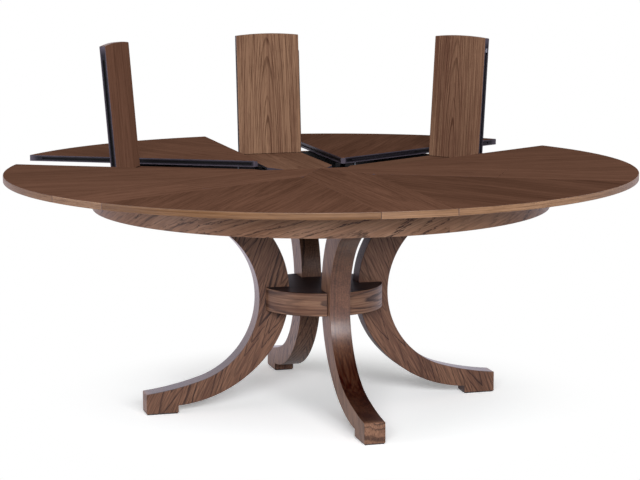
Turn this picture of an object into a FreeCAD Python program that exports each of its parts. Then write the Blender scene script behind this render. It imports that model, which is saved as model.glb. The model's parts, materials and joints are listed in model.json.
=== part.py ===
import FreeCAD, Part
import math
import os
import re

import Sketcher

# Driving sizes of the table, in millimetres and degrees
DRIVING = {
    "table_height": 762.0,
    "top_thick": 20.0,
    "top_radius": 1004.0,
    "gap_width": 222.6,
    "side_gap": 0.3,
    "apex_blunt": 11.0,
    "fold_radius": 586.0,
    "fold_gap": 0.3,
    "fold_rise": 0.5,
    "groove_width": 6.0,
    "groove_depth": 5.0,
    "groove_rim_margin": 45.0,
    "groove_end_margin": 25.0,
    "pull_back": 64.0,
    "stand_angle": 85.5,
    "stow_angle": 88.0,
    "arm_length": 93.0,
    "arm_rear": 190.0,
    "arm_front": 370.0,
    "arm_thick": 12.0,
    "arm_half": 8.0,
    "arm_end": 6.5,
    "pin_radius": 4.0,
    "pin_gap": 0.3,
    "pin_drop": 14.0,
    "lug_half": 12.0,
    "lug_thick": 5.0,
    "lug_gap": 1.0,
    "plate_thick": 3.0,
    "plate_width": 60.0,
    "plate_margin": 20.0,
    "hinge_deep": 24.0,
    "hinge_long": 45.0,
    "hinge_tall": 12.0,
    "hinge_side": 60.0,
    "fit_gap": 0.1,
    "runner_start": 300.0,
    "runner_room": 3.0,
    "runner_head_width": 30.0,
    "runner_head_height": 10.0,
    "runner_neck_width": 16.0,
    "guide_start": 295.0,
    "guide_width": 50.0,
    "guide_base": 9.0,
    "guide_lip": 10.0,
    "slide_gap": 0.5,
    "apron_room": 29.0,
    "apron_wall": 20.0,
    "apron_bottom": 648.0,
    "apron_height": 88.0,
    "beam_lift": 2.0,
    "board_radius": 420.0,
    "board_thick": 18.0,
    "leg_width": 66.0,
    "leg_hollow_centre": 480.0,
    "leg_hollow_height": 357.0,
    "leg_hollow_bend": 266.0,
    "leg_back_centre": 432.0,
    "leg_back_height": 374.0,
    "leg_back_bend": 317.0,
    "toe_bend": 900.0,
    "toe_turn": 73.0,
    "heel_bend": 410.0,
    "heel_turn": 41.0,
    "toe_radius": 583.0,
    "foot_length": 103.0,
    "glide_thick": 3.0,
    "glide_margin": 3.0,
    "collar_radius": 196.0,
    "collar_bottom": 317.0,
    "collar_height": 74.0,
    "collar_notch": 114.0,
    "tenon_inset": 30.0,
    "tenon_width": 36.0,
    "tenon_height": 16.0,
}

COS30 = math.cos(math.radians(30))
TAN30 = math.tan(math.radians(30))
UP = FreeCAD.Vector(0, 0, 1)

# Pieces in order round the table, the first segment and the first leg along +X
SEGMENT_NAMES = ["right", "back_right", "back_left", "left", "front_left", "front_right"]
LEAF_NAMES = ["back_right", "back", "back_left", "front_left", "front", "front_right"]
LEG_NAMES = ["right", "back", "left", "front"]

# The segments that are pulled out, and the leaves that stand half unfolded
PULLED = {"back_left", "back_right"}
STANDING = {"back_right", "back", "back_left"}


def round_table(names, share=0.0):
    """Each name with its azimuth; share moves them all on by a part of the step."""
    step = 360 / len(names)
    return [(name, (place + share) * step) for place, name in enumerate(names)]


SEGMENTS = round_table(SEGMENT_NAMES)
LEAVES = round_table(LEAF_NAMES, 0.5)
LEGS = round_table(LEG_NAMES)


def next_arc(centre, radius, turn, next_radius):
    """Where an arc ends, a turn below level, and the centre of the arc that carries it on."""
    out, down = math.cos(math.radians(turn)), math.sin(math.radians(turn))
    step = next_radius - radius
    end = (centre[0] - radius * out, centre[1] - radius * down)
    return end, (centre[0] + step * out, centre[1] + step * down)


def near_side(centre, radius, height):
    """How far out the inner half of an arc is at a height."""
    return centre[0] - math.sqrt(radius ** 2 - (height - centre[1]) ** 2)


def low_side(centre, radius, out):
    """How high the lower half of an arc is at a distance out."""
    return centre[1] - math.sqrt(radius ** 2 - (out - centre[0]) ** 2)


def derive(size):
    """Sizes that follow from the driving ones."""
    half_gap = size["gap_width"] / 2
    leaf_half = half_gap - size["side_gap"]
    top_bottom = size["table_height"] - size["top_thick"]
    corner_turn = math.radians(30) - math.asin(half_gap / size["top_radius"])
    corner_x = size["top_radius"] * math.cos(corner_turn)
    apex = size["gap_width"]
    stand_turn = math.radians(size["stand_angle"] * size["stow_angle"] / 180)
    pin_height = top_bottom - size["pin_drop"]
    pivot_height = pin_height - size["arm_length"]
    board_top = pivot_height - size["lug_half"] - size["plate_thick"]
    board_bottom = board_top - size["board_thick"]
    hollow = (size["leg_hollow_centre"], size["leg_hollow_height"])
    back = (size["leg_back_centre"], size["leg_back_height"])
    toe_start, toe = next_arc(hollow, size["leg_hollow_bend"], size["toe_turn"], size["toe_bend"])
    heel_start, heel = next_arc(back, size["leg_back_bend"], size["heel_turn"], size["heel_bend"])
    leg_top_out = near_side(hollow, size["leg_hollow_bend"], board_bottom)
    leg_top_in = near_side(back, size["leg_back_bend"], board_bottom)
    guide_top = top_bottom - size["slide_gap"]
    head_slot = size["runner_head_height"] + 2 * size["slide_gap"]
    apron_inside = size["fold_radius"] + size["arm_length"] + size["apron_room"]
    beam_end = math.sqrt(apron_inside ** 2 - (size["guide_width"] / 2) ** 2) - size["fit_gap"]
    foot_start = size["toe_radius"] - size["foot_length"]
    return {
        "leaf_half": leaf_half,
        "top_bottom": top_bottom,
        "corner_x": corner_x,
        "corner_y": size["top_radius"] * math.sin(corner_turn),
        "apex": apex,
        "blunt_x": apex + size["apex_blunt"],
        "blunt_y": size["apex_blunt"] * TAN30,
        "side_length": (corner_x - apex) / COS30,
        "tip_x": 2 * size["side_gap"],
        "shoulder_x": (leaf_half + size["side_gap"] / COS30) / TAN30,
        "inner_end": size["fold_radius"] - size["fold_gap"] / 2,
        "outer_start": size["fold_radius"] + size["fold_gap"] / 2,
        "rim_x": math.sqrt(size["top_radius"] ** 2 - leaf_half ** 2),
        "stand_shift": size["arm_length"] * math.sin(stand_turn),
        "stand_drop": size["arm_length"] * (1 - math.cos(stand_turn)),
        "stand_turn": math.degrees(stand_turn),
        "pin_height": pin_height,
        "pivot_height": pivot_height,
        "board_top": board_top,
        "board_bottom": board_bottom,
        "guide_top": guide_top,
        "head_slot": head_slot,
        "guide_bottom": guide_top - size["guide_lip"] - head_slot - size["guide_base"],
        "apron_inside": apron_inside,
        "apron_radius": apron_inside + size["apron_wall"],
        "runner_length": beam_end - size["pull_back"] - size["runner_room"] - size["runner_start"],
        "beam_low": size["apron_bottom"] + size["beam_lift"],
        "beam_end": beam_end,
        "leg_top_out": leg_top_out,
        "leg_top_in": leg_top_in,
        "tenon_start": leg_top_in + size["tenon_inset"],
        "tenon_length": leg_top_out - leg_top_in - 2 * size["tenon_inset"],
        "toe_start_x": toe_start[0],
        "toe_start_z": toe_start[1],
        "toe_centre_x": toe[0],
        "toe_centre_z": toe[1],
        "toe_height": low_side(toe, size["toe_bend"], size["toe_radius"]),
        "heel_start_x": heel_start[0],
        "heel_start_z": heel_start[1],
        "heel_centre_x": heel[0],
        "heel_centre_z": heel[1],
        "foot_start": foot_start,
        "foot_height": low_side(heel, size["heel_bend"], foot_start),
    }


doc = FreeCAD.newDocument("expanding_round_table")
sheet = doc.addObject("Spreadsheet::Sheet", "sizes")
value = dict(DRIVING)
value.update(derive(DRIVING))
for row, (cell_name, number) in enumerate(value.items(), start=1):
    sheet.set(f"A{row}", cell_name)
    sheet.set(f"B{row}", repr(number))
    sheet.setAlias(f"B{row}", cell_name)
doc.recompute()

nodes = []


def formula(text):
    """The same text with each size name pointing at its cell."""
    return re.sub(r"[a-z_]+[a-z_0-9]*", r"sizes.\g<0>", text)


def signed(name):
    """Number behind a corner name, which may carry a minus sign or be 0."""
    if name == "0":
        return 0.0
    return -value[name[1:]] if name.startswith("-") else value[name]


def new_body(label):
    body = doc.addObject("PartDesign::Body", label)
    body.Label = label
    return body


def keep(piece):
    """Marks a finished sub-part for writing."""
    nodes.append(piece)
    return piece


def group(label, members):
    """Several alike pieces kept as one node of separate solids."""
    compound = doc.addObject("Part::Compound", label)
    compound.Label = label
    compound.Links = members
    return keep(compound)


def pin_corner(sketch, edge, end, axis, name):
    """Fixes one coordinate of a corner to its cell."""
    if name == "0":
        across = {"X": -2, "Y": -1}[axis]
        sketch.addConstraint(Sketcher.Constraint("PointOnObject", edge, end, across))
        return
    origin, corner = (-1, 1), (edge, end)
    first, last = (corner, origin) if name.startswith("-") else (origin, corner)
    row = sketch.addConstraint(Sketcher.Constraint("Distance" + axis, *first, *last, abs(signed(name))))
    sketch.setExpression(f"Constraints[{row}]", formula(name.lstrip("-")))


def outline(body, role, corners, arcs=None, lift=None):
    """A closed sketch through named corners; arcs maps an edge to radius, centre and turning."""
    arcs = arcs or {}
    sketch = body.newObject("Sketcher::SketchObject", body.Label + "_outline")
    base = next(f for f in body.Origin.OriginFeatures if f.Role == role)
    sketch.AttachmentSupport = (base, [""])
    sketch.MapMode = "FlatFace"
    if lift:
        sketch.setExpression("AttachmentOffset.Base.z", formula(lift))
    points = [FreeCAD.Vector(signed(x), signed(y), 0) for x, y in corners]
    ends = []
    for index, start in enumerate(points):
        stop = points[(index + 1) % len(points)]
        if index not in arcs:
            ends.append((sketch.addGeometry(Part.LineSegment(start, stop), False), 1, 2))
            continue
        radius, centre, ccw = arcs[index]
        middle = FreeCAD.Vector(signed(centre[0]), signed(centre[1]), 0)
        first, last = (start, stop) if ccw else (stop, start)
        low = math.atan2(first.y - middle.y, first.x - middle.x)
        high = math.atan2(last.y - middle.y, last.x - middle.x)
        if high < low:
            high += 2 * math.pi
        circle = Part.Circle(middle, UP, value[radius])
        edge = sketch.addGeometry(Part.ArcOfCircle(circle, low, high), False)
        ends.append((edge, 1, 2) if ccw else (edge, 2, 1))
    for index, (edge, start, _) in enumerate(ends):
        previous, _, stop = ends[index - 1]
        sketch.addConstraint(Sketcher.Constraint("Coincident", previous, stop, edge, start))
        pin_corner(sketch, edge, start, "X", corners[index][0])
        pin_corner(sketch, edge, start, "Y", corners[index][1])
    for index, (radius, _, _) in arcs.items():
        row = sketch.addConstraint(Sketcher.Constraint("Radius", ends[index][0], value[radius]))
        sketch.setExpression(f"Constraints[{row}]", formula(radius))
    return sketch


def pad(body, sketch, length, symmetric=False):
    feature = body.newObject("PartDesign::Pad", body.Label + "_pad")
    feature.Profile = sketch
    feature.SideType = "Symmetric" if symmetric else "One side"
    feature.setExpression("Length", formula(length))
    return feature


def set_base(feature, corner):
    for axis, text in zip("xyz", corner):
        feature.setExpression("Placement.Base." + axis, formula(text))


def block(body, kind, corner, size, turn=0.0):
    """A box added to or cut from the body, turned about the upright axis."""
    feature = body.newObject(f"PartDesign::{kind}Box", body.Label + "_block")
    feature.Placement = FreeCAD.Placement(FreeCAD.Vector(), FreeCAD.Rotation(UP, turn))
    set_base(feature, corner)
    for side, text in zip(("Length", "Width", "Height"), size):
        feature.setExpression(side, formula(text))
    return feature


AXIS_TURNS = {
    "x": FreeCAD.Rotation(FreeCAD.Vector(0, 1, 0), 90),
    "y": FreeCAD.Rotation(FreeCAD.Vector(1, 0, 0), -90),
    "z": FreeCAD.Rotation(),
}


def rod(body, kind, axis, start, radius, length):
    """A round bar added to or cut from the body along one axis."""
    feature = body.newObject(f"PartDesign::{kind}Cylinder", body.Label + "_rod")
    feature.Placement = FreeCAD.Placement(FreeCAD.Vector(), AXIS_TURNS[axis])
    set_base(feature, start)
    feature.setExpression("Radius", formula(radius))
    feature.setExpression("Height", formula(length))
    return feature


def turned(azimuth):
    return FreeCAD.Placement(FreeCAD.Vector(), FreeCAD.Rotation(UP, azimuth))


def moved(x, z):
    return FreeCAD.Placement(FreeCAD.Vector(x, 0, z), FreeCAD.Rotation())


def tipped(x, z, angle):
    """A turn about a level cross axis through x, z; positive lifts the outer end."""
    spin = FreeCAD.Rotation(FreeCAD.Vector(0, 1, 0), -angle)
    return FreeCAD.Placement(FreeCAD.Vector(), spin, FreeCAD.Vector(x, 0, z))


def make_segment(name, azimuth, pull):
    """One pie segment of the top, with a groove in each straight edge."""
    body = new_body("segment_" + name)
    corners = [
        ("blunt_x", "-blunt_y"),
        ("corner_x", "-corner_y"),
        ("corner_x", "corner_y"),
        ("blunt_x", "blunt_y"),
    ]
    arcs = {1: ("top_radius", ("0", "0"), True)}
    pad(body, outline(body, "XY_Plane", corners, arcs, "top_bottom"), "top_thick")
    run = "side_length - groove_end_margin - groove_rim_margin"
    reach = "groove_depth + side_gap"
    low = "top_bottom + top_thick / 2 - groove_width / 2"
    for sign, lead in ((1, "groove_depth"), (-1, "side_gap")):
        corner = (
            f"apex + groove_end_margin * {COS30} + {sign} * {lead} / 2",
            f"{sign} * groove_end_margin / 2 - {lead} * {COS30}",
            low,
        )
        block(body, "Subtractive", corner, (run, reach, "groove_width"), sign * 30)
    body.Placement = turned(azimuth) * moved(pull, 0)
    return keep(body)


def make_runner(name, azimuth, pull):
    """T-shaped bar under a segment that hangs in its slide guide."""
    body = new_body("runner_" + name)
    head_low = "guide_top - guide_lip - slide_gap - runner_head_height"
    block(
        body, "Additive", ("runner_start", "-runner_head_width / 2", head_low),
        ("runner_length", "runner_head_width", "runner_head_height"),
    )
    block(
        body, "Additive", ("runner_start", "-runner_neck_width / 2", head_low),
        ("runner_length", "runner_neck_width", f"top_bottom - ({head_low})"),
    )
    body.Placement = turned(azimuth) * moved(pull, 0)
    return keep(body)


def cut_leaf_edges(body, start, run):
    """Grooves in both long edges of a leaf half."""
    low = "top_bottom + top_thick / 2 - groove_width / 2"
    for side in ("leaf_half - groove_depth", "-leaf_half - side_gap"):
        size = (run, "groove_depth + side_gap", "groove_width")
        block(body, "Subtractive", (start, side, low), size)


def hinge_block(body, kind, start, side, gap):
    """Body of a concealed hinge, or with a gap its mortise, at one side of the fold face."""
    corner = (
        start,
        f"{side} * hinge_side - hinge_long / 2 - {gap}",
        f"top_bottom + (top_thick - hinge_tall) / 2 - {gap}",
    )
    size = ("hinge_deep", f"hinge_long + 2 * {gap}", f"hinge_tall + 2 * {gap}")
    return block(body, kind, corner, size)


def make_hinges(label, start, placement):
    """Two concealed hinge bodies of one leaf half."""
    hinges = []
    for side in (-1, 1):
        body = new_body(label + "_hinge")
        hinge_block(body, "Additive", start, side, "0")
        body.Placement = placement
        hinges.append(body)
    return hinges


def make_leaf_inner(name, placement):
    """Inner half of a leaf, pointed at the table's centre."""
    body = new_body("leaf_inner_" + name)
    corners = [
        ("tip_x", "0"),
        ("shoulder_x", "-leaf_half"),
        ("inner_end", "-leaf_half"),
        ("inner_end", "leaf_half"),
        ("shoulder_x", "leaf_half"),
    ]
    pad(body, outline(body, "XY_Plane", corners, lift="top_bottom"), "top_thick")
    run = "inner_end - shoulder_x - 2 * groove_end_margin"
    cut_leaf_edges(body, "shoulder_x + groove_end_margin", run)
    for side in (-1, 1):
        hinge_block(body, "Subtractive", "inner_end - hinge_deep", side, "fit_gap")
    body.Placement = placement
    return keep(body)


def make_leaf_outer(name, placement):
    """Outer half of a leaf, with its piece of the round rim."""
    body = new_body("leaf_outer_" + name)
    corners = [
        ("outer_start", "-leaf_half"),
        ("rim_x", "-leaf_half"),
        ("rim_x", "leaf_half"),
        ("outer_start", "leaf_half"),
    ]
    arcs = {1: ("top_radius", ("0", "0"), True)}
    pad(body, outline(body, "XY_Plane", corners, arcs, "top_bottom"), "top_thick")
    run = "rim_x - outer_start - groove_end_margin - groove_rim_margin"
    cut_leaf_edges(body, "outer_start + groove_end_margin", run)
    for side in (-1, 1):
        hinge_block(body, "Subtractive", "outer_start", side, "fit_gap")
    body.Placement = placement
    return keep(body)


def add_clevis(body, place, low, high, pin_height):
    """Two lugs on a plate with the pin of one swing arm between them."""
    inside = "arm_thick / 2 + lug_gap"
    for start in (inside, f"-({inside}) - lug_thick"):
        size = ("2 * lug_half", "lug_thick", f"{high} - ({low})")
        block(body, "Additive", (f"{place} - lug_half", start, low), size)
    rod(body, "Additive", "y", (place, f"-({inside})", pin_height), "pin_radius", f"2 * ({inside})")


def add_plate(body, low):
    """Long plate that carries both clevises of a leaf."""
    corner = ("arm_rear - plate_margin", "-plate_width / 2", low)
    length = "arm_front - arm_rear + 2 * plate_margin"
    block(body, "Additive", corner, (length, "plate_width", "plate_thick"))


def make_hanger(name, placement):
    """Steel plate under the inner half with the upper pins of the swing arms, and the hinge bodies."""
    body = new_body("leaf_hanger_plate_" + name)
    plate_low = "top_bottom - plate_thick"
    add_plate(body, plate_low)
    for place in ("arm_rear", "arm_front"):
        add_clevis(body, place, "pin_height - lug_half", plate_low, "pin_height")
    body.Placement = placement
    hinges = make_hinges("leaf_inner_" + name, "inner_end - hinge_deep", placement)
    return group("leaf_hanger_" + name, [body] + hinges)


def make_arm(label, azimuth, place, turn):
    """Swing arm: a flat bar with a pin hole at each end."""
    body = new_body(label)
    face = "-arm_thick / 2"
    block(
        body, "Additive", ("-arm_half", face, "-arm_end"),
        ("2 * arm_half", "arm_thick", "arm_length + 2 * arm_end"),
    )
    for eye in ("0", "arm_length"):
        rod(body, "Subtractive", "y", ("0", face, eye), "pin_radius + pin_gap", "arm_thick")
    lean = FreeCAD.Placement(FreeCAD.Vector(), FreeCAD.Rotation(FreeCAD.Vector(0, 1, 0), turn))
    body.Placement = turned(azimuth) * moved(value[place], value["pivot_height"]) * lean
    return keep(body)


def make_bracket(name, azimuth):
    """Bracket on the pedestal board that holds the lower pins of a leaf's swing arms."""
    body = new_body("arm_bracket_" + name)
    add_plate(body, "board_top")
    for place in ("arm_rear", "arm_front"):
        add_clevis(body, place, "board_top + plate_thick", "pivot_height + lug_half", "pivot_height")
    body.Placement = turned(azimuth)
    return body


def make_leaf(name, azimuth, stands):
    """A whole leaf with its hanger and swing arms, flat or half unfolded."""
    shift = value["stand_shift"] if stands else 0.0
    drop = value["stand_drop"] if stands else 0.0
    fold = value["stand_angle"] if stands else 0.0
    turn = value["stand_turn"] if stands else 0.0
    carried = turned(azimuth) * moved(shift, -drop)
    axis_height = value["table_height"] + value["fold_rise"]
    unfolded = carried * tipped(value["fold_radius"], axis_height, fold)
    make_leaf_inner(name, carried)
    make_hanger(name, carried)
    make_leaf_outer(name, unfolded)
    group("fold_hinge_" + name, make_hinges("leaf_outer_" + name, "outer_start", unfolded))
    make_arm("swing_arm_rear_" + name, azimuth, "arm_rear", turn)
    make_arm("swing_arm_front_" + name, azimuth, "arm_front", turn)


def make_guide(name, azimuth):
    """Slide guide with a T-slot, open at the top."""
    body = new_body("slide_guide_" + name)
    run = "beam_end - guide_start"
    block(
        body, "Additive", ("guide_start", "-guide_width / 2", "guide_bottom"),
        (run, "guide_width", "guide_top - guide_bottom"),
    )
    head = "runner_head_width + 2 * slide_gap"
    neck = "runner_neck_width + 2 * slide_gap"
    slot_low = "guide_bottom + guide_base"
    block(body, "Subtractive", ("guide_start", f"-({head}) / 2", slot_low), (run, head, "head_slot"))
    block(
        body, "Subtractive", ("guide_start", f"-({neck}) / 2", slot_low),
        (run, neck, "guide_top - guide_bottom"),
    )
    body.Placement = turned(azimuth)
    return body


def make_beam(name, azimuth):
    """Radial beam from the pedestal board to the apron, tapered underneath."""
    body = new_body("radial_beam_" + name)
    corners = [
        ("guide_start", "board_top"),
        ("board_radius", "board_top"),
        ("beam_end", "beam_low"),
        ("beam_end", "guide_bottom"),
        ("guide_start", "guide_bottom"),
    ]
    pad(body, outline(body, "XZ_Plane", corners), "guide_width", symmetric=True)
    body.Placement = turned(azimuth)
    return body


def make_leg(name, azimuth):
    """C-curved leg cut from a plank, with its foot block and a tenon at the top."""
    body = new_body("leg_" + name)
    corners = [
        ("leg_top_out", "board_bottom"),
        ("toe_start_x", "toe_start_z"),
        ("toe_radius", "toe_height"),
        ("toe_radius", "glide_thick"),
        ("foot_start", "glide_thick"),
        ("foot_start", "foot_height"),
        ("heel_start_x", "heel_start_z"),
        ("leg_top_in", "board_bottom"),
    ]
    arcs = {
        0: ("leg_hollow_bend", ("leg_hollow_centre", "leg_hollow_height"), True),
        1: ("toe_bend", ("toe_centre_x", "toe_centre_z"), True),
        5: ("heel_bend", ("heel_centre_x", "heel_centre_z"), False),
        6: ("leg_back_bend", ("leg_back_centre", "leg_back_height"), False),
    }
    pad(body, outline(body, "XZ_Plane", corners, arcs), "leg_width", symmetric=True)
    block(
        body, "Additive", ("tenon_start", "-tenon_width / 2", "board_bottom"),
        ("tenon_length", "tenon_width", "tenon_height"),
    )
    body.Placement = turned(azimuth)
    return keep(body)


def cut_for_legs(body, start, low, size):
    """One upright cut for each leg, begun at a radius and centred on the leg."""
    length, width, height = size
    for _, azimuth in LEGS:
        turn = math.radians(azimuth)
        out, side = round(math.cos(turn)), round(math.sin(turn))
        corner = (
            f"{out} * ({start}) + {side} * ({width}) / 2",
            f"{side} * ({start}) - {out} * ({width}) / 2",
            low,
        )
        block(body, "Subtractive", corner, (length, width, height), azimuth)


def make_collar():
    """Thick round disc at the waist, notched for the legs."""
    body = new_body("collar")
    rod(body, "Additive", "z", ("0", "0", "collar_bottom"), "collar_radius", "collar_height")
    notch = ("collar_radius", "leg_width + 2 * fit_gap", "collar_height")
    cut_for_legs(body, "collar_notch", "collar_bottom", notch)
    return keep(body)


def make_board():
    """Pedestal top board, with a mortise for the tenon of each leg."""
    body = new_body("pedestal_board")
    rod(body, "Additive", "z", ("0", "0", "board_bottom"), "board_radius", "board_thick")
    mortise = ("tenon_length + 2 * fit_gap", "tenon_width + 2 * fit_gap", "tenon_height + fit_gap")
    cut_for_legs(body, "tenon_start - fit_gap", "board_bottom", mortise)
    return keep(body)


def make_glide(name, azimuth):
    """Thin glide under a foot."""
    body = new_body("glide_" + name)
    block(
        body, "Additive", ("foot_start + glide_margin", "glide_margin - leg_width / 2", "0"),
        ("toe_radius - foot_start - 2 * glide_margin", "leg_width - 2 * glide_margin", "glide_thick"),
    )
    body.Placement = turned(azimuth)
    return body


def make_apron():
    """Round drum under the top."""
    body = new_body("apron")
    start = ("0", "0", "apron_bottom")
    rod(body, "Additive", "z", start, "apron_radius", "apron_height")
    rod(body, "Subtractive", "z", start, "apron_inside", "apron_height")
    return keep(body)


for segment_name, segment_azimuth in SEGMENTS:
    pull = value["pull_back"] if segment_name in PULLED else 0.0
    make_segment(segment_name, segment_azimuth, pull)
    make_runner(segment_name, segment_azimuth, pull)
for leaf_name, leaf_azimuth in LEAVES:
    make_leaf(leaf_name, leaf_azimuth, leaf_name in STANDING)
make_apron()
make_board()
group("slide_guides", [make_guide(name, azimuth) for name, azimuth in SEGMENTS])
group("radial_beams", [make_beam(name, azimuth) for name, azimuth in SEGMENTS])
group("arm_brackets", [make_bracket(name, azimuth) for name, azimuth in LEAVES])
for leg_name, leg_azimuth in LEGS:
    make_leg(leg_name, leg_azimuth)
make_collar()
group("glides", [make_glide(name, azimuth) for name, azimuth in LEGS])

doc.recompute()
for item in doc.Objects:
    if "Invalid" in item.State or "Error" in item.State:
        raise RuntimeError(f"{item.Label} failed: {item.State}")
for node in nodes:
    if node.Shape.isNull() or not node.Shape.isValid():
        raise RuntimeError(f"{node.Label} has no valid shape")
os.makedirs("parts", exist_ok=True)
for node in nodes:
    node.Shape.exportStep(f"parts/{node.Label}.step")
print(len(nodes), "nodes written")
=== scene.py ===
import json
import math
import random

import bmesh
import bpy
from mathutils import Matrix, Vector


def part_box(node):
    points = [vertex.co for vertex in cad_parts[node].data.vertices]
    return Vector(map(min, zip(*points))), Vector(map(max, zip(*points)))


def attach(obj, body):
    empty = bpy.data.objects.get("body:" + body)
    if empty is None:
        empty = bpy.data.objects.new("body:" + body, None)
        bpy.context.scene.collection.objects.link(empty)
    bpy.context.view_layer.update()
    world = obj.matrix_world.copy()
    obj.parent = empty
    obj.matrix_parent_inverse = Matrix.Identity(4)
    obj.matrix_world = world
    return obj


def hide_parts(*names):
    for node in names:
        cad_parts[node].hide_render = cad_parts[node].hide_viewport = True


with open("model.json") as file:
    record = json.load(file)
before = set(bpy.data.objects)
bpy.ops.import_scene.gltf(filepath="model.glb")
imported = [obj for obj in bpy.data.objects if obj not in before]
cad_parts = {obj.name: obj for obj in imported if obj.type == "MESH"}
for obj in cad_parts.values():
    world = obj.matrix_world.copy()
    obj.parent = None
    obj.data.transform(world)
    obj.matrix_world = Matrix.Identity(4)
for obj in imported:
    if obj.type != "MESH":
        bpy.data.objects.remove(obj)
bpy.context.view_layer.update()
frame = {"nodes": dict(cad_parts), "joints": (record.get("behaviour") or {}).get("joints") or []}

JOINTS = {joint["name"]: joint for joint in frame["joints"]}
NODES = frame["nodes"]
SCENE = bpy.context.scene

# Pieces of the table with the azimuth of their middle line, in degrees
SEGMENTS = {
    "right": 0, "back_right": 60, "back_left": 120, "left": 180, "front_left": 240, "front_right": 300,
}
LEAVES = {
    "back_right": 30, "back": 90, "back_left": 150, "front_left": 210, "front": 270, "front_right": 330,
}
LEGS = {"right": 0, "back": 90, "left": 180, "front": 270}

# Halves of a leaf, segments pulled out and leaves standing at rest, and leaves of paler wood
HALVES = ("inner", "outer")
PULLED = ("back_left", "back_right")
STANDING = ("back_right", "back", "back_left")
PALE = ("back_right", "back")

# Sizes in metres, angles in radians
WELD = 1e-6
NEAR = 1e-5
ON_SIDE = 1e-4
TIP_DIGITS = 5
FLAT_ANGLE = math.radians(0.5)
SHARP_ANGLE = math.radians(30)
EASE_STEPS = 2
ROUND_PROFILE = 0.5
RIM_CUTS = 3
RIM_REACH = 0.004
RIM_FACET = 0.02
TOP_EASE = 0.0005
RIM_EASE = 0.0015
LIP = 0.004
TONGUE_OUT = 0.004
TONGUE_IN = 0.0045
TONGUE_THICK = 0.0045
TONGUE_INNER_MARGIN = 0.035
TONGUE_RIM_MARGIN = 0.055
TONGUE_FOLD_MARGIN = 0.095
CATCH_SIZE = (0.014, 0.003, 0.009)
CATCH_PROUD = 0.00015
POST_SIZE = (0.004, 0.004, 0.012)
POST_IN = 0.055
POST_APART = 0.0285
TRIM_EASE_SHARE = 0.2
LEG_EASE = 0.0018
LEG_GRAIN_ANGLE = math.radians(-62)
FOOT_END_HEIGHT = 0.09
COLLAR_EASE = 0.0025
APRON_EASE = 0.0015
APRON_ROUND = 0.3
APRON_STEPS = 240
APRON_STRIPS = 6
APRON_STRIP_START = math.radians(15)
APRON_SLANT = math.radians(22)
APRON_SLANTS = (0.6, 1.3)

# How squarely a face has to look a way to count as a face of that side
LEVEL_FACE = 0.99
UPWARD_ARRIS = 0.3
RIM_FACE = 0.9
CHEEK_FACE = 0.5
FOOT_END_FACE = 0.9
COLLAR_LEVEL_FACE = 0.9
# Collar faces turned less squarely outward than this, the arrises at its ends among them, take the painted
# shade
COLLAR_ROUND_FACE = 0.93
APRON_INNER_FACE = -0.5

# Order of the materials on a top piece, a leg, the collar and the apron
VENEER, RIM, EDGE, GROOVE, UNDERSIDE = range(5)
CHEEK, BEND = range(2)
COLLAR_ROUND, COLLAR_LEVEL = range(2)
APRON_OUTSIDE, APRON_INSIDE = range(2)

# Seeds and spans in metres of where in the wood a piece is cut from
SEGMENT_SEED, LEAF_SEED, LEG_SEED, COLLAR_SEED, APRON_SEED = range(100, 600, 100)
TOP_SPANS = ((-0.1, 0.1), (-0.02, 0.02), (0, 9))
LEG_SPANS = ((0, 9), (-0.02, 0.02), (0, 9))
COLLAR_SPANS = ((-0.05, 0.05), (-0.01, 0.01))
APRON_SPANS = ((0, 9), (-0.06, 0.0), (0, 9))

# How far each piece strays from the middle tone of its wood, with heights in metres; some of these tints are
# painted light and shade, as said at each
# The back right segment's darker tint is partly painted shade
SEGMENT_TINTS = {
    "left": 0.2, "front_left": -0.4, "front_right": -0.7, "right": 0.1, "back_right": -0.6, "back_left": 0.3,
}
LEAF_TINTS = {
    "front": -0.3, "front_right": 0.2, "front_left": 0.3, "back_left": 0.1, "back": 0.4, "back_right": -0.3,
}
RIM_TINTS = {"right": 1.3, "front_right": 1.3, "front": 0.9, "left": -0.3}
LEG_TINTS = {"back": 1.8}
# Lighter cheeks on the front and back legs, whose sides face left and right: painted light
CHEEK_TINTS = {"front": 1.6, "back": 0.8}
# Inner faces of the legs: painted shade on the right leg's, painted light on the back leg's
INNER_FACE_TINTS = {"right": -2.0, "back": 0.5}
# Lighter end faces of the feet: painted light
FOOT_END_TINT = 1.7
# Cheeks lighter from UPPER_FROM upward, over UPPER_FADE: painted light against the shadow of the table top
UPPER_FROM = 0.4
UPPER_FADE = 0.2
UPPER_PAINTED_LIGHT = 1.6
# Bends darker below DARK_BELOW, over DARK_FADE: painted shade under the table
DARK_BELOW = 0.27
DARK_FADE = 0.1
LOW_PAINTED_SHADE = 1.7

# Cycles per metre along, across and into the wood of the patterns in it
SWAY = (3.0, 11.0, 11.0)
SHIVER = (14.0, 60.0, 60.0)
TEARS = (50.0, 260.0, 260.0)
FADING = (9.0, 45.0, 45.0)
PORES = (30.0, 700.0, 700.0)
CLOUDS = (1.6, 14.0, 14.0)
STREAKS = (2.5, 160.0, 160.0)
FIBRES = (16.0, 330.0, 330.0)

# Spans of noise over which a pattern grows from its least to its most
COMMON_SPAN = (0.3, 0.7)
FADING_SPAN = (0.35, 0.6)
PORE_SPAN = (0.5, 0.68)
FIBRE_SPAN = (0.47, 0.66)

# Growth rings, in shares of a ring, and what they do to the wood
RING_PITCH = 0.4
RING_WANDER = 1.6
LATE_FULL = 0.88
LATE_END = (0.9, 1.0)
RING_CHANCE = (0.1, 0.8)
RING_STRENGTH = (0.25, 1.0)
SHIVER_SHARE = 0.25
PORED_LINE = 0.6
PORES_BETWEEN = 0.35
LINE_DEPTH = 0.5
DEEPEST = 1.2
WOOD_BUMP = (0.25, 0.0004)

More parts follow.
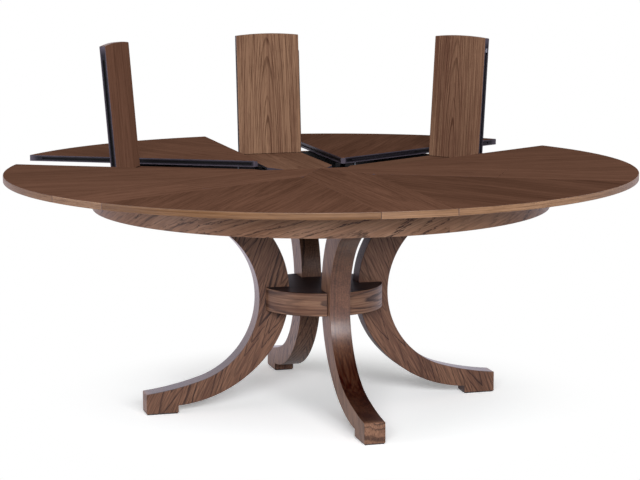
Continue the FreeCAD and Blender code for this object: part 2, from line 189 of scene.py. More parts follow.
# Paint and metal: cycles per metre, spread of roughness, bump strength and height
MOTTLE_SCALE = 9.0
# A painted highlight on the arrises of painted edges, broken up by noise of this scale
HIGHLIGHT_MOTTLE_SCALE = 30.0
ARRIS_HIGHLIGHT_SPAN = (0.5, 0.95)
LEAST_HIGHLIGHT = 0.7
TOOTH_SCALE = 900.0
TOOTH_SPREAD = 0.06
TOOTH_BUMP = (0.15, 0.0002)
BRUSH_MARKS = (300.0, 300.0, 4000.0)
BRUSH_SPREAD = 0.08
BRUSH_BUMP = (0.1, 0.0001)

# Studio: floor, light from all round, and lamps with place, size, watts and colour
WHITE = (1, 1, 1, 1)
FLOOR_RADIUS = 30.0
FLOOR_STEPS = 96
FLOOR_FADE = (0.35, 0.95)
FLOOR_COLOUR = (0.55, 0.55, 0.55, 1)
FLOOR_SEEN = (1.45, 1.45, 1.4, 1)
MIRRORED_SHARE = 0.5
REFLECTED_WHITE = (0.94, 0.88, 1.0, 1)
AMBIENT_COLOUR = (0.97, 0.98, 1.0, 1)
AMBIENT_STRENGTH = 0.4
TABLE_MIDDLE = (0.0, 0.0, 0.6)
LAMPS = {
    "key_lamp": ((-0.75, -4.95, 2.15), (4.6, 1.5), 340, (0.94, 0.955, 1.0)),
    "left_lamp": ((-5.0, -0.6, 1.0), (3.2, 1.8), 72, (0.93, 0.9, 1.0)),
    "top_lamp": ((0.5, 0.5, 4.2), (3.5, 3.5), 10, (1.0, 0.99, 0.97)),
}

# The photograph's camera, fitted to the table's seams and feet
CAMERA_PLACE = Vector((-1.7511, -6.2056, 1.5472))
CAMERA_YAW, CAMERA_PITCH, CAMERA_ROLL = (math.radians(turn) for turn in (15.725, -8.967, -0.212))
IMAGE_WIDTH = 640
FOCAL_PIXELS = 2033.8
SENSOR_WIDTH = 36.0


class Paint:
    """A node material under construction; each method adds a node and returns its output."""

    def __init__(self, name):
        self.material = bpy.data.materials.new(name)
        self.material.use_nodes = True
        self.tree = self.material.node_tree
        self.tree.nodes.clear()

    def node(self, kind, inputs=None, **settings):
        node = self.tree.nodes.new(kind)
        for key, setting in settings.items():
            setattr(node, key, setting)
        for key, value in (inputs or {}).items():
            if isinstance(value, bpy.types.NodeSocket):
                self.tree.links.new(value, node.inputs[key])
            else:
                node.inputs[key].default_value = value
        return node

    def math(self, operation, first, second=0.0):
        return self.node("ShaderNodeMath", {0: first, 1: second}, operation=operation).outputs[0]

    def attribute(self, name, output):
        return self.node("ShaderNodeAttribute", attribute_name=name).outputs[output]

    def scaled(self, vector, factors):
        node = self.node("ShaderNodeVectorMath", {0: vector, 1: factors}, operation="MULTIPLY")
        return node.outputs[0]

    def place(self):
        return self.node("ShaderNodeTexCoord").outputs["Object"]

    def swing(self, chance, reach):
        return self.math("MULTIPLY", self.math("SUBTRACT", chance, 0.5), reach)

    def noise(self, vector, detail, scale=1.0):
        inputs = {"Vector": vector, "Scale": scale, "Detail": detail, "Roughness": 0.5}
        return self.node("ShaderNodeTexNoise", inputs).outputs["Fac"]

    def pattern(self, grain, cycles, detail):
        return self.noise(self.scaled(grain, cycles), detail)

    def noise_line(self, value):
        inputs = {"W": value, "Scale": 1.0, "Detail": 2.0, "Roughness": 0.6}
        return self.node("ShaderNodeTexNoise", inputs, noise_dimensions="1D").outputs["Fac"]

    def remap(self, value, low, high, to_low=0.0, to_high=1.0):
        inputs = {0: value, 1: low, 2: high, 3: to_low, 4: to_high}
        return self.node("ShaderNodeMapRange", inputs, interpolation_type="SMOOTHSTEP").outputs[0]

    def mix(self, factor, first, second):
        node = self.node("ShaderNodeMix", data_type="RGBA", clamp_factor=False)
        for socket, value in (("Factor_Float", factor), ("A_Color", first), ("B_Color", second)):
            target = next(s for s in node.inputs if s.identifier == socket)
            if isinstance(value, bpy.types.NodeSocket):
                self.tree.links.new(value, target)
            else:
                target.default_value = value
        return next(s for s in node.outputs if s.identifier == "Result_Color")

    def bump(self, height, strength, distance):
        inputs = {"Height": height, "Strength": strength, "Distance": distance}
        return self.node("ShaderNodeBump", inputs).outputs[0]

    def finish(self, surface):
        output = self.node("ShaderNodeOutputMaterial")
        self.tree.links.new(surface, output.inputs["Surface"])
        return self.material

    def principled(self, **inputs):
        named = {key.replace("_", " "): value for key, value in inputs.items()}
        return self.finish(self.node("ShaderNodeBsdfPrincipled", named).outputs[0])


def shade(red, green, blue):
    """Linear colour from sRGB values of 0 to 255."""
    def linear(value):
        value /= 255
        return value / 12.92 if value <= 0.04045 else ((value + 0.055) / 1.055) ** 2.4
    return (linear(red), linear(green), linear(blue), 1.0)


def growth_rings(paint, ring, late_start):
    """Dark late wood of each growth ring, some rings strong and some faint."""
    wander = paint.math("MULTIPLY", paint.noise_line(paint.math("MULTIPLY", ring, RING_PITCH)), RING_WANDER)
    year = paint.math("ADD", ring, wander)
    age = paint.math("FRACT", year)
    number = paint.math("FLOOR", year)
    chance = paint.node("ShaderNodeTexWhiteNoise", {"W": number}, noise_dimensions="1D").outputs["Value"]
    growing = paint.remap(age, late_start, LATE_FULL)
    late = paint.math("MULTIPLY", growing, paint.remap(age, *LATE_END, 1.0, 0.0))
    return paint.math("MULTIPLY", late, paint.remap(chance, *RING_CHANCE, *RING_STRENGTH))


def glued_boards(paint, across, along, width):
    """Place across and along one of several boards side by side, each cut from another part of a tree."""
    number = paint.math("FLOOR", paint.math("DIVIDE", across, width))
    middle = paint.math("MULTIPLY", paint.math("ADD", number, 0.5), width)
    chances = paint.node("ShaderNodeTexWhiteNoise", {"W": number}, noise_dimensions="1D").outputs["Color"]
    chance = paint.node("ShaderNodeSeparateXYZ", {0: chances}).outputs
    aside = paint.swing(chance[0], width)
    ahead = paint.math("SUBTRACT", chance[1], 0.5)
    return paint.math("ADD", paint.math("SUBTRACT", across, middle), aside), paint.math("ADD", along, ahead)


def wood(name, dark, mid, light, ring_gap, core, arch=0.0, point=2.0, wander=0.012, late_start=0.3,
         contrast=0.7, gaps=0.5, cloud=1.0, streak=0.5, pore_share=0.5, fibre=0.15, board=0.0,
         ragged=0.0, roughness=(0.35, 0.5), specular=0.3, coat=0.0, coat_roughness=0.25):
    """Stained oak: growth rings cut lengthwise, pores along them and slow changes of tone.

    The grain attribute holds metres along, across and into the wood. The rings lie core deep and come
    up by arch per metre; point shapes their tips; gaps is how far the lines fade along their length.
    Ragged rings have torn edges, by that share of a ring. Wood glued up from boards of a given width
    has rings of its own in each board."""
    paint = Paint(name)
    grain = paint.attribute("grain", "Vector")
    split = paint.node("ShaderNodeSeparateXYZ", {0: grain})
    along, across = split.outputs[0], split.outputs[1]
    if board:
        across, along = glued_boards(paint, across, along, board)
    sway = paint.swing(paint.pattern(grain, SWAY, 3), wander)
    shiver = paint.swing(paint.pattern(grain, SHIVER, 2), wander * SHIVER_SHARE)
    bent = paint.math("ADD", paint.math("ADD", across, sway), shiver)
    deep = paint.math("ADD", paint.math("MULTIPLY", along, arch), core)
    powers = [paint.math("POWER", paint.math("ABSOLUTE", side), point) for side in (bent, deep)]
    radius = paint.math("POWER", paint.math("ADD", *powers), 1 / point)
    ring = paint.math("DIVIDE", radius, ring_gap)
    if ragged:
        ring = paint.math("ADD", ring, paint.math("MULTIPLY", paint.pattern(grain, TEARS, 2), ragged))
    fading = paint.remap(paint.pattern(grain, FADING, 2), *FADING_SPAN, 1.0 - gaps, 1.0)
    lines = paint.math("MULTIPLY", growth_rings(paint, ring, late_start), fading)
    pores = paint.remap(paint.pattern(grain, PORES, 1), *PORE_SPAN)
    dashes = paint.math("MULTIPLY", pores, paint.remap(lines, 0.0, PORED_LINE, PORES_BETWEEN, 1.0))
    drift = paint.remap(paint.pattern(grain, CLOUDS, 2), *COMMON_SPAN, 0.5 - cloud / 2, 0.5 + cloud / 2)
    # The tint attribute adds each piece's tone and, on the legs, painted light and shade
    tone_and_painted_light = paint.math("ADD", drift, paint.attribute("tint", "Fac"))
    streaks = paint.remap(paint.pattern(grain, STREAKS, 3), *COMMON_SPAN, -streak, streak)
    body = paint.mix(paint.math("ADD", tone_and_painted_light, streaks), mid, light)
    lined = paint.mix(paint.math("MULTIPLY", lines, contrast), body, dark)
    fibres = paint.remap(paint.pattern(grain, FIBRES, 2), *FIBRE_SPAN)
    combed = paint.mix(paint.math("MULTIPLY", fibres, fibre), lined, dark)
    depth = paint.math("ADD", dashes, paint.math("MULTIPLY", lines, LINE_DEPTH))
    return paint.principled(
        Base_Color=paint.mix(paint.math("MULTIPLY", dashes, pore_share), combed, dark),
        Roughness=paint.remap(depth, 0.0, DEEPEST, *roughness),
        Specular_IOR_Level=specular,
        Coat_Weight=coat,
        Coat_Roughness=coat_roughness,
        Normal=paint.bump(paint.math("SUBTRACT", 1.0, depth), *WOOD_BUMP),
    )


def toothed(paint, place, colour, roughness, specular):
    """Finishes a paint of a colour with a fine tooth."""
    tooth = paint.noise(place, 2, TOOTH_SCALE)
    return paint.principled(
        Base_Color=colour,
        Roughness=paint.remap(tooth, *COMMON_SPAN, roughness - TOOTH_SPREAD, roughness + TOOTH_SPREAD),
        Specular_IOR_Level=specular,
        Normal=paint.bump(tooth, *TOOTH_BUMP),
    )


def painted(name, low, high, roughness, specular=0.4):
    """Brushed or sprayed paint with faint mottling."""
    paint = Paint(name)
    place = paint.place()
    cloud = paint.noise(place, 4, MOTTLE_SCALE)
    return toothed(paint, place, paint.mix(paint.remap(cloud, *COMMON_SPAN), low, high), roughness, specular)


def edge_paint(name, low, high, roughness, specular):
    """Dark paint of a grooved edge, with a painted highlight paler towards its arrises, where the tint nears
    1.
    """
    paint = Paint(name)
    place = paint.place()
    cloud = paint.noise(place, 4, HIGHLIGHT_MOTTLE_SCALE)
    arris_highlight = paint.remap(paint.attribute("tint", "Fac"), *ARRIS_HIGHLIGHT_SPAN)
    highlight = paint.math("MULTIPLY", arris_highlight, paint.remap(cloud, *COMMON_SPAN, LEAST_HIGHLIGHT, 1.0))
    return toothed(paint, place, paint.mix(highlight, low, high), roughness, specular)


def bright_metal(name, low, high, roughness):
    """Plain metal with fine brush marks."""
    paint = Paint(name)
    marks = paint.pattern(paint.place(), BRUSH_MARKS, 2)
    return paint.principled(
        Base_Color=paint.mix(marks, low, high),
        Metallic=1.0,
        Roughness=paint.remap(marks, *COMMON_SPAN, roughness - BRUSH_SPREAD, roughness + BRUSH_SPREAD),
        Normal=paint.bump(marks, *BRUSH_BUMP),
    )


TOP_WOOD = wood(
    "top_veneer", shade(62, 39, 29), shade(105, 73, 57), shade(123, 87, 69), ring_gap=0.009, core=0.05,
    arch=0.03, wander=0.02, contrast=0.22, cloud=0.6, streak=0.35, pore_share=0.35, fibre=0.2,
    roughness=(0.5, 0.62), specular=0.0,
)
LEAF_WOOD = wood(
    "leaf_veneer", shade(61, 37, 27), shade(110, 80, 63), shade(129, 98, 77), ring_gap=0.0065, core=-0.05,
    arch=0.1, point=1.8, wander=0.014, late_start=0.45, contrast=0.7, gaps=0.6, streak=0.7,
    pore_share=0.5, fibre=0.28, roughness=(0.5, 0.62), specular=0.0,
)
PLAIN_LEAF_WOOD = wood(
    "plain_leaf_veneer", shade(66, 41, 31), shade(117, 84, 66), shade(133, 98, 78), ring_gap=0.0065,
    core=0.05, arch=0.03, wander=0.014, late_start=0.4, contrast=0.25, gaps=0.6, streak=0.4,
    pore_share=0.35, roughness=(0.5, 0.62), specular=0.0,
)
RIM_WOOD = wood(
    "rim_band", shade(71, 45, 26), shade(102, 72, 45), shade(123, 92, 66), ring_gap=0.006, core=0.06,
    wander=0.02, contrast=0.3, fibre=0.4, roughness=(0.38, 0.5), specular=0.25,
)
APRON_WOOD = wood(
    "apron_veneer", shade(34, 16, 9), shade(130, 94, 70), shade(146, 110, 85), ring_gap=0.012, core=0.012,
    arch=0.08, wander=0.055, late_start=0.68, contrast=1.0, gaps=0.4, streak=0.45, pore_share=0.4,
    fibre=0.3, ragged=0.9, roughness=(0.38, 0.5), specular=0.22,
)
CHEEK_WOOD = wood(
    "leg_cheek", shade(34, 18, 12), shade(94, 64, 49), shade(110, 78, 60), ring_gap=0.0065, core=0.12,
    arch=0.1, point=1.2, wander=0.02, late_start=0.5, contrast=0.95, gaps=0.3, streak=0.8, fibre=0.4,
    board=0.15, ragged=0.3, roughness=(0.4, 0.52), specular=0.2, coat=0.1,
)
BEND_WOOD = wood(
    "leg_bend", shade(41, 24, 16), shade(87, 55, 38), shade(105, 70, 50), ring_gap=0.005, core=0.01,
    wander=0.006, contrast=0.5, fibre=0.35, roughness=(0.32, 0.44), specular=0.25, coat=0.5,
    coat_roughness=0.22,
)
COLLAR_WOOD = wood(
    "collar_wood", shade(40, 21, 12), shade(100, 70, 52), shade(123, 91, 70), ring_gap=0.012, core=-0.03,
    arch=0.08, point=1.7, wander=0.035, late_start=0.45, contrast=1.0, gaps=0.35, streak=0.8, fibre=0.3,
    ragged=0.2, roughness=(0.36, 0.48), specular=0.25, coat=0.05,
)
# Dark copy of the collar wood for its level faces, notch sides and end arrises: painted shade
COLLAR_SHADED_WOOD = wood(
    "collar_shaded_wood", shade(24, 14, 13), shade(42, 27, 26), shade(52, 35, 33), ring_gap=0.012, core=0.02,
    arch=0.05, wander=0.02, contrast=0.5, roughness=(0.5, 0.6), specular=0.1,
)
# Dark edge paint; its paler colour is a painted highlight along the arrises of the top pieces' edges
EDGE_PAINT = edge_paint("edge_paint", shade(20, 18, 24), shade(76, 69, 78), 0.45, 0.15)
# Near-black paint for the frame, the apron's inside and the grooves, so dark that the gaps into the drum
# read as shade: partly painted shade
BLACK_PAINT_AND_SHADE = painted("black_paint_and_shade", shade(9, 8, 9), shade(15, 14, 15), 0.55, 0.1)
UNDER_PAINT = painted("under_paint", shade(22, 21, 21), shade(31, 29, 29), 0.5)
BLACK_STEEL = painted("black_steel", shade(14, 14, 15), shade(21, 21, 23), 0.4, 0.3)
GLIDE = painted("glide_plastic", shade(14, 14, 15), shade(22, 22, 23), 0.55)
HINGE_METAL = bright_metal("hinge_metal", shade(150, 118, 66), shade(190, 156, 96), 0.32)
POST_METAL = bright_metal("post_metal", shade(84, 86, 92), shade(116, 118, 124), 0.42)
CATCH_METAL = bright_metal("catch_metal", shade(112, 114, 119), shade(152, 154, 158), 0.36)


def ease_edges(bm, edges, ease):
    """Rounds edges by that much on each side."""
    bmesh.ops.bevel(
        bm, geom=edges, offset=ease, offset_type="OFFSET", segments=EASE_STEPS, profile=ROUND_PROFILE,
        affect="EDGES", clamp_overlap=True,
    )


def eased_copy(node, ease, refine=None):
    """Mesh of a CAD node in a bmesh, flat faces joined and sharp edges eased."""
    bm = bmesh.new()
    bm.from_mesh(NODES[node].data)
    bmesh.ops.remove_doubles(bm, verts=bm.verts, dist=WELD)
    bmesh.ops.dissolve_limit(bm, angle_limit=FLAT_ANGLE, verts=bm.verts, edges=bm.edges)
    if refine:
        refine(bm)
    sharp = [e for e in bm.edges if len(e.link_faces) == 2 and e.calc_face_angle() > SHARP_ANGLE]
    ease_edges(bm, sharp, ease)
    return bm


def add_piece(bm, name, body, materials):
    """Smooth shaded object from a bmesh, which moves with a body."""
    for face in bm.faces:
        face.smooth = True
    mesh = bpy.data.meshes.new(name)
    bm.to_mesh(mesh)
    bm.free()
    for material in materials:
        mesh.materials.append(material)
    piece = bpy.data.objects.new(name, mesh)
    SCENE.collection.objects.link(piece)
    normals = piece.modifiers.new("face_weighted_normals", "WEIGHTED_NORMAL")
    normals.keep_sharp = True
    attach(piece, body)
    return piece


def dress_piece(bm, node, body, materials, roles, tint_at):
    """Replaces a CAD node; roles gives each face its material and each of its corners its grain."""
    grains = bm.loops.layers.float_vector.new("grain")
    tints = bm.loops.layers.float.new("tint")
    for face in bm.faces:
        face.material_index, place = roles(face)
        for loop in face.loops:
            loop[grains] = place(loop.vert.co)
            loop[tints] = tint_at(face, loop.vert.co)
    piece = add_piece(bm, "dressed_" + node, body, materials)
    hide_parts(node)


def plain_tint(face, co):
    """The middle tone all over."""
    return 0.0


def random_shift(draw, spans):
    """Where in the wood a piece is cut from."""
    return Vector([draw.uniform(*span) for span in spans])


def level_turn(azimuth):
    """From the part's frame to one with x along that azimuth."""
    return Matrix.Rotation(-math.radians(azimuth), 4, "Z")


def segment_frame(name):
    """From the part's frame to a segment's own, as if it were pushed home."""
    pulled = -JOINTS[f"segment_{name}_slide"]["range_m"][0]
    return Matrix.Translation((-pulled, 0, 0)) @ level_turn(SEGMENTS[name])


def leaf_frame(name, half):
    """From the part's frame to a leaf's own, as if it lay flat between the segments."""
    arm = Vector(JOINTS[f"arm_rear_{name}_swing"]["pos_m"])
    pin = Vector(JOINTS[f"leaf_{name}_level"]["pos_m"])
    shift = (pin.xy - arm.xy).length
    drop = (pin - arm).length - (pin.z - arm.z)
    home = Matrix.Translation((-shift, 0, drop)) @ level_turn(LEAVES[name])
    if half == "inner":
        return home
    fold = JOINTS[f"leaf_{name}_fold"]
    pivot = Vector(fold["pos_m"])
    unfold = Matrix.Rotation(math.radians(fold["range_deg"][0]), 4, Vector(fold["axis"]))
    return home @ Matrix.Translation(pivot) @ unfold @ Matrix.Translation(-pivot)


TOP_RADIUS = max(v.co.xy.length for v in NODES["segment_front_left"].data.vertices)
TOP_LOW, TOP_HIGH = (corner.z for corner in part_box("segment_front_left"))
FOLD_RADIUS = Vector(JOINTS["leaf_front_fold"]["pos_m"]).xy.length


def on_rim(point):
    """Whether a place in a top piece's own frame lies at the round rim."""
    return point.xy.length > TOP_RADIUS - RIM_REACH


def refine_rim(to_local):
    """Gives the round rim of a top piece more facets, on the same circle."""
    back = to_local.inverted()

    def refine(bm):
        arcs = []
        for edge in bm.edges:
            ends = [to_local @ v.co for v in edge.verts]
            level = abs(ends[0].z - ends[1].z) < WELD
            if level and all(on_rim(p) for p in ends) and (ends[0] - ends[1]).length > RIM_FACET:
                arcs.append(edge)
        bmesh.ops.subdivide_edges(bm, edges=arcs, cuts=RIM_CUTS, use_grid_fill=True)
        for vert in bm.verts:
            place = to_local @ vert.co
            if on_rim(place):
                level = place.xy.normalized() * TOP_RADIUS
                vert.co = back @ Vector((level.x, level.y, place.z))
        arrises = []
        for edge in bm.edges:
            ends = [to_local @ v.co for v in edge.verts]
            crosswise = abs(ends[0].x - ends[1].x) < NEAR
            at_fold = crosswise and min(p.z for p in ends) > TOP_HIGH - NEAR
            if (at_fold or all(on_rim(p) for p in ends)) and edge.calc_face_angle(0.0) > SHARP_ANGLE:
                arrises.append(edge)
        ease_edges(bm, arrises, RIM_EASE)

    return refine


def make_top_piece(node, body, veneer, to_local, seed, tint, rim_tint):
    """A segment or leaf half: veneer on top, banded rim, dark painted edges and underside."""
    turn = to_local.to_3x3()
    offset = random_shift(random.Random(seed), TOP_SPANS)

    def face_grain(co):
        return to_local @ co + offset

    def rim_grain(co):
        place = to_local @ co
        return Vector((math.atan2(place.y, place.x) * TOP_RADIUS, place.z, place.xy.length)) + offset

    def roles(face):
        normal = turn @ face.normal
        centre = to_local @ face.calc_center_median()
        heights = [(to_local @ v.co).z for v in face.verts]
        # Faces inside the groove take the near-black paint: painted shade in the recess
        if min(heights) > TOP_LOW + LIP and max(heights) < TOP_HIGH - LIP:
            return GROOVE, face_grain
        if abs(normal.z) > LEVEL_FACE:
            return (VENEER if normal.z > 0 else UNDERSIDE), face_grain
        if on_rim(centre) and normal.xy.normalized().dot(centre.xy.normalized()) > RIM_FACE:
            return RIM, rim_grain
        return (VENEER if normal.z > UPWARD_ARRIS else EDGE), face_grain

    def tint_at(face, co):
        # On an edge the tint grows from mid-height towards the arrises and sets the painted highlight there
        if face.material_index == EDGE:
            return abs(2 * (to_local @ co).z - TOP_LOW - TOP_HIGH) / (TOP_HIGH - TOP_LOW)
        return tint + rim_tint * (face.material_index == RIM)

    bm = eased_copy(node, TOP_EASE, refine_rim(to_local))
    materials = (veneer, RIM_WOOD, EDGE_PAINT, BLACK_PAINT_AND_SHADE, UNDER_PAINT)
    dress_piece(bm, node, body, materials, roles, tint_at)


def side_ends(node, to_local):
    """Both ends of a top piece's clockwise side, in its own frame."""
    places = [(to_local @ v.co).xy for v in NODES[node].data.vertices]
    edge = min(p.y for p in places)
    if node.startswith("segment_"):
        return min(places, key=lambda p: (round(p.x, TIP_DIGITS), p.y)), min(places, key=lambda p: p.y)
    along = [p.x for p in places if p.y < edge + ON_SIDE]
    return Vector((min(along), edge)), Vector((max(along), edge))


def make_trim(name, body, material, size, place, to_local):
    """A small block, eased, set at a place in a piece's own frame."""
    bm = bmesh.new()
    bmesh.ops.create_cube(bm, size=1.0)
    bmesh.ops.scale(bm, vec=size, verts=bm.verts)
    ease_edges(bm, bm.edges, min(size) * TRIM_EASE_SHARE)
    bmesh.ops.transform(bm, matrix=to_local.inverted() @ place, verts=bm.verts)
    add_piece(bm, name, body, (material,))


def make_tongue(node, body, to_local, with_catch):
    """Tongue along a piece's clockwise side, which fits the groove of its neighbour."""
    start, end = side_ends(node, to_local)
    ahead = (end - start).normalized()
    out = Vector((ahead.y, -ahead.x))
    turn = Matrix.Rotation(math.atan2(ahead.y, ahead.x), 4, "Z")
    level = (TOP_LOW + TOP_HIGH) / 2

    def at_side(along, outward):
        spot = start + ahead * (along - start.dot(ahead)) + out * outward
        return Matrix.Translation((spot.x, spot.y, level)) @ turn

    first = start.dot(ahead) + TONGUE_INNER_MARGIN
    last = end.dot(ahead) - (TONGUE_RIM_MARGIN if on_rim(end) else TONGUE_INNER_MARGIN)
    runs = [(first, last)]
    if first < FOLD_RADIUS < last:
        runs = [(first, FOLD_RADIUS - TONGUE_INNER_MARGIN), (FOLD_RADIUS + TONGUE_FOLD_MARGIN, last)]
    for number, (low, high) in enumerate(runs):
        size = (high - low, TONGUE_OUT + TONGUE_IN, TONGUE_THICK)
        place = at_side((low + high) / 2, (TONGUE_OUT - TONGUE_IN) / 2)
        make_trim(f"tongue_{node}_{number}", body, EDGE_PAINT, size, place, to_local)
    if with_catch:
        place = at_side(last + CATCH_SIZE[0], CATCH_PROUD - CATCH_SIZE[1] / 2)
        make_trim("catch_" + node, body, CATCH_METAL, CATCH_SIZE, place, to_local)


def make_tip_posts(node, body, to_local):
    """Two small posts under the tip of a segment."""
    tip = min((to_local @ v.co).x for v in NODES[node].data.vertices)
    for side in (-1, 1):
        middle = Matrix.Translation((tip + POST_IN, side * POST_APART, TOP_LOW - POST_SIZE[2] / 2))
        make_trim(f"tip_post_{node}_{side}", body, POST_METAL, POST_SIZE, middle, to_local)


def share(value):
    """A number held between 0 and 1."""
    return min(max(value, 0.0), 1.0)


def make_leg(name, seed):
    """A leg with slanting grain on its flat sides and straight grain along its curved faces."""
    node = "leg_" + name
    to_local = level_turn(LEGS[name])
    turn = to_local.to_3x3()
    offset = random_shift(random.Random(seed), LEG_SPANS)
    lean = Matrix.Rotation(LEG_GRAIN_ANGLE, 3, "Y")
    leg_tint = LEG_TINTS.get(name, 0.0)
    cheek_tint = leg_tint + CHEEK_TINTS.get(name, 0.0)
    foot_reach = max((to_local @ v.co).x for v in NODES[node].data.vertices)

    def cheek_grain(co):
        place = lean @ (to_local @ co)
        return Vector((place.x, place.z, place.y)) + offset

    def bend_grain(co):
        place = to_local @ co
        return Vector((place.x - place.z, place.y, place.x + place.z)) + offset

    def roles(face):
        normal = turn @ face.normal
        foot_end = normal.x > FOOT_END_FACE and face.calc_center_median().z < FOOT_END_HEIGHT
        if foot_end or abs(normal.y) > CHEEK_FACE:
            return CHEEK, cheek_grain
        return (CHEEK if normal.x < 0 else BEND), bend_grain

    # Tints of a leg: its own tone, plus painted light on foot ends, upper cheeks, the front and back legs'
    # cheeks and the back leg's inner face, and painted shade on the right leg's inner face and on bends
    # towards the floor
    def tint_at(face, co):
        normal = turn @ face.normal
        if (to_local @ co).x > foot_reach - LEG_EASE:
            return leg_tint + FOOT_END_TINT
        if abs(normal.y) > CHEEK_FACE:
            return cheek_tint + UPPER_PAINTED_LIGHT * share((co.z - UPPER_FROM) / UPPER_FADE)
        if normal.x < 0:
            return INNER_FACE_TINTS.get(name, 0.0)
        return leg_tint - LOW_PAINTED_SHADE * share((DARK_BELOW - co.z) / DARK_FADE)

    bm = eased_copy(node, LEG_EASE)
    dress_piece(bm, node, "base", (CHEEK_WOOD, BEND_WOOD), roles, tint_at)


def round_grain(co, near):
    """Metres round the part from the front, up, and out; near keeps a face's corners together."""
    angle = math.atan2(co.x, -co.y)
    turns = round((near - angle) / (2 * math.pi))
    return Vector(((angle + turns * 2 * math.pi) * co.xy.length, co.z, co.xy.length))


def face_round_grain(face, offset):
    """Grain of a face that runs round the part."""
    centre = face.calc_center_median()
    near = math.atan2(centre.x, -centre.y)
    return lambda co: round_grain(co, near) + offset


def make_collar(seed):
    """The notched disc, grain running round its edge and straight across its faces."""
    low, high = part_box("collar")
    middle = Vector((0, (low.z + high.z) / 2, 0))
    offset = random_shift(random.Random(seed), COLLAR_SPANS).to_3d() - middle

    def roles(face):
        outward = face.normal.xy.normalized().dot(face.calc_center_median().xy.normalized())
        # Level faces, notch sides and end arrises take the dark copy: painted shade, and at the ends the
        # painted shadow of the gap against the legs
        if abs(face.normal.z) > COLLAR_LEVEL_FACE or outward < COLLAR_ROUND_FACE:
            return COLLAR_LEVEL, lambda co: co + offset
        return COLLAR_ROUND, face_round_grain(face, offset)

    bm = eased_copy("collar", COLLAR_EASE)
    dress_piece(bm, "collar", "base", (COLLAR_WOOD, COLLAR_SHADED_WOOD), roles, plain_tint)


def make_apron(seed):
    """The drum, turned smooth, veneered outside in strips with a joint between each two."""
    low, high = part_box("apron")
    outer = max(v.co.xy.length for v in NODES["apron"].data.vertices)
    inner = min(v.co.xy.length for v in NODES["apron"].data.vertices)
    eased = APRON_EASE
    rounded = APRON_EASE * APRON_ROUND
    profile = [
        (inner, low.z), (outer - eased, low.z), (outer - rounded, low.z + rounded), (outer, low.z + eased),
        (outer, high.z - eased), (outer - rounded, high.z - rounded), (outer - eased, high.z),
        (inner, high.z),
    ]
    bm = bmesh.new()
    rings = []
    for step in range(APRON_STEPS):
        angle = 2 * math.pi * step / APRON_STEPS
        rings.append([bm.verts.new((r * math.sin(angle), -r * math.cos(angle), z)) for r, z in profile])
    for step, ring in enumerate(rings):
        other = rings[(step + 1) % APRON_STEPS]
        for place in range(len(profile)):
            after = (place + 1) % len(profile)
            bm.faces.new((ring[place], other[place], other[after], ring[after]))
    bmesh.ops.recalc_face_normals(bm, faces=bm.faces)
    draw = random.Random(seed)
    offsets = [random_shift(draw, APRON_SPANS) for _ in range(APRON_STRIPS)]
    slants = [
        Matrix.Rotation(-draw.uniform(*APRON_SLANTS) * APRON_SLANT, 3, "Z") for _ in range(APRON_STRIPS)
    ]

    def roles(face):
        centre = face.calc_center_median()
        if face.normal.xy.dot(centre.xy) < APRON_INNER_FACE * centre.xy.length:
            return APRON_INSIDE, lambda co: co
        turned = (math.atan2(centre.x, -centre.y) - APRON_STRIP_START) / (2 * math.pi) % 1
        strip = int(turned * APRON_STRIPS)
        level = face_round_grain(face, Vector((0, -low.z, 0)))
        return APRON_OUTSIDE, lambda co: slants[strip] @ level(co) + offsets[strip]

    dress_piece(bm, "apron", "base", (APRON_WOOD, BLACK_PAINT_AND_SHADE), roles, plain_tint)


def dress_node(node, material):
    """A CAD node that stays as it is takes a node material."""
    mesh = NODES[node].data
    mesh.materials.clear()
    mesh.materials.append(material)


def make_floor():
    """Plain white floor: soft shadow near the table, pure white further out."""
    mesh = bpy.data.meshes.new("floor")
    bm = bmesh.new()
    bmesh.ops.create_circle(bm, cap_ends=True, segments=FLOOR_STEPS, radius=FLOOR_RADIUS)
    bm.to_mesh(mesh)
    bm.free()
    floor = bpy.data.objects.new("floor", mesh)
    SCENE.collection.objects.link(floor)
    paint = Paint("floor_white")
    distance = paint.node("ShaderNodeVectorMath", {0: paint.place()}, operation="LENGTH").outputs["Value"]
    path = paint.node("ShaderNodeLightPath").outputs
    seen = paint.math("MAXIMUM", path["Is Camera Ray"], path["Is Glossy Ray"])
    seen = paint.math("MAXIMUM", seen, path["Is Transmission Ray"])
    fade = paint.remap(distance, *FLOOR_FADE)
    mirrored = paint.math("MULTIPLY", path["Is Glossy Ray"], MIRRORED_SHARE)
    bright = paint.mix(paint.math("ADD", path["Is Camera Ray"], mirrored), FLOOR_COLOUR, FLOOR_SEEN)
    matt = paint.node("ShaderNodeBsdfDiffuse", {"Color": bright}).outputs[0]
    white = paint.mix(path["Is Glossy Ray"], WHITE, REFLECTED_WHITE)
    glow = paint.node("ShaderNodeEmission", {"Color": white, "Strength": 1.0}).outputs[0]
    mixed = paint.node("ShaderNodeMixShader", {0: paint.math("MULTIPLY", seen, fade), 1: matt, 2: glow})
    mesh.materials.append(paint.finish(mixed.outputs[0]))


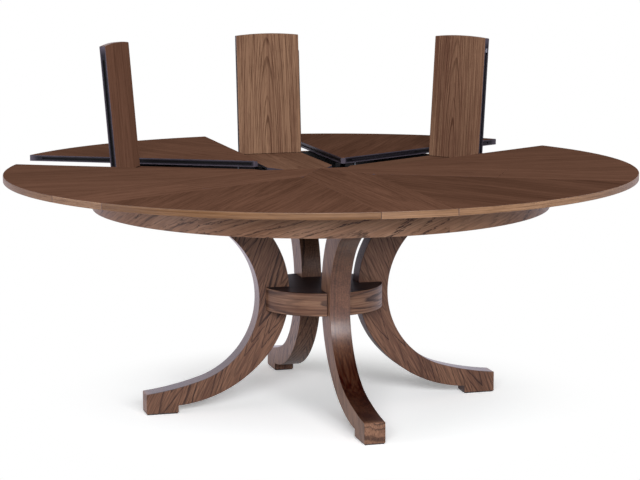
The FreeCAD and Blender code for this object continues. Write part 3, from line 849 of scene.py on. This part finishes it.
def make_world():
    """Soft light from all round, and plain white where the camera or a reflection sees past the floor."""
    SCENE.world = bpy.data.worlds.new("studio")
    SCENE.world.use_nodes = True
    tree = SCENE.world.node_tree
    tree.nodes.clear()
    path = tree.nodes.new("ShaderNodeLightPath").outputs
    surface = None
    steps = ((None, AMBIENT_COLOUR, AMBIENT_STRENGTH), ("Is Glossy Ray", REFLECTED_WHITE, 1.0),
             ("Is Transmission Ray", WHITE, 1.0), ("Is Camera Ray", WHITE, 1.0))
    for ray, colour, strength in steps:
        sky = tree.nodes.new("ShaderNodeBackground")
        sky.inputs["Color"].default_value = colour
        sky.inputs["Strength"].default_value = strength
        if ray:
            mixed = tree.nodes.new("ShaderNodeMixShader")
            tree.links.new(path[ray], mixed.inputs[0])
            tree.links.new(surface, mixed.inputs[1])
            tree.links.new(sky.outputs[0], mixed.inputs[2])
            surface = mixed.outputs[0]
        else:
            surface = sky.outputs[0]
    output = tree.nodes.new("ShaderNodeOutputWorld")
    tree.links.new(surface, output.inputs["Surface"])


def make_lamp(name, place, size, watts, colour):
    """Large soft lamp at a place, turned towards the table."""
    data = bpy.data.lights.new(name, "AREA")
    data.shape = "RECTANGLE"
    data.size, data.size_y = size
    data.energy = watts
    data.color = colour
    lamp = bpy.data.objects.new(name, data)
    lamp.location = place
    lamp.rotation_euler = (Vector(TABLE_MIDDLE) - Vector(place)).to_track_quat("-Z", "Y").to_euler()
    SCENE.collection.objects.link(lamp)


def make_camera():
    """Camera at the photograph's place, turned by its yaw, pitch and roll."""
    data = bpy.data.cameras.new("camera")
    data.sensor_width = SENSOR_WIDTH
    data.lens = FOCAL_PIXELS * SENSOR_WIDTH / IMAGE_WIDTH
    camera = bpy.data.objects.new("camera", data)
    ahead = Vector((
        math.sin(CAMERA_YAW) * math.cos(CAMERA_PITCH),
        math.cos(CAMERA_YAW) * math.cos(CAMERA_PITCH),
        math.sin(CAMERA_PITCH),
    ))
    right = Vector((math.cos(CAMERA_YAW), -math.sin(CAMERA_YAW), 0))
    up = right.cross(ahead)
    across = math.cos(CAMERA_ROLL) * right + math.sin(CAMERA_ROLL) * up
    above = math.cos(CAMERA_ROLL) * up - math.sin(CAMERA_ROLL) * right
    turn = Matrix((across, above, -ahead)).transposed().to_4x4()
    camera.matrix_world = Matrix.Translation(CAMERA_PLACE) @ turn
    SCENE.collection.objects.link(camera)
    SCENE.camera = camera


for number, segment in enumerate(SEGMENTS):
    node_name = "segment_" + segment
    make_top_piece(
        node_name, node_name, TOP_WOOD, segment_frame(segment),
        SEGMENT_SEED + number, SEGMENT_TINTS[segment], RIM_TINTS.get(segment, 0.0),
    )
    make_tip_posts(node_name, node_name, segment_frame(segment))
for number, leaf in enumerate(LEAVES):
    for half, pale_wood in zip(HALVES, (PLAIN_LEAF_WOOD, LEAF_WOOD)):
        node_name = f"leaf_{half}_{leaf}"
        make_top_piece(
            node_name, node_name, pale_wood if leaf in PALE else TOP_WOOD,
            leaf_frame(leaf, half), LEAF_SEED + number, LEAF_TINTS[leaf], RIM_TINTS.get(leaf, 0.0),
        )
for segment in PULLED:
    node_name = "segment_" + segment
    make_tongue(node_name, node_name, segment_frame(segment), False)
for leaf in STANDING:
    for half in HALVES:
        node_name = f"leaf_{half}_{leaf}"
        make_tongue(node_name, node_name, leaf_frame(leaf, half), half == "outer")
for number, leg in enumerate(LEGS):
    make_leg(leg, LEG_SEED + number)
make_collar(COLLAR_SEED)
make_apron(APRON_SEED)
for node_name in NODES:
    if node_name.startswith("runner_") or node_name in ("pedestal_board", "slide_guides", "radial_beams"):
        dress_node(node_name, BLACK_PAINT_AND_SHADE)
    elif node_name.startswith(("leaf_hanger_", "swing_arm_")) or node_name == "arm_brackets":
        dress_node(node_name, BLACK_STEEL)
    elif node_name.startswith("fold_hinge_"):
        dress_node(node_name, HINGE_METAL)
    elif node_name == "glides":
        dress_node(node_name, GLIDE)

make_floor()
make_world()
for lamp_name, lamp_values in LAMPS.items():
    make_lamp(lamp_name, *lamp_values)
make_camera()
SCENE.view_settings.view_transform = "Standard"

bpy.context.view_layer.update()
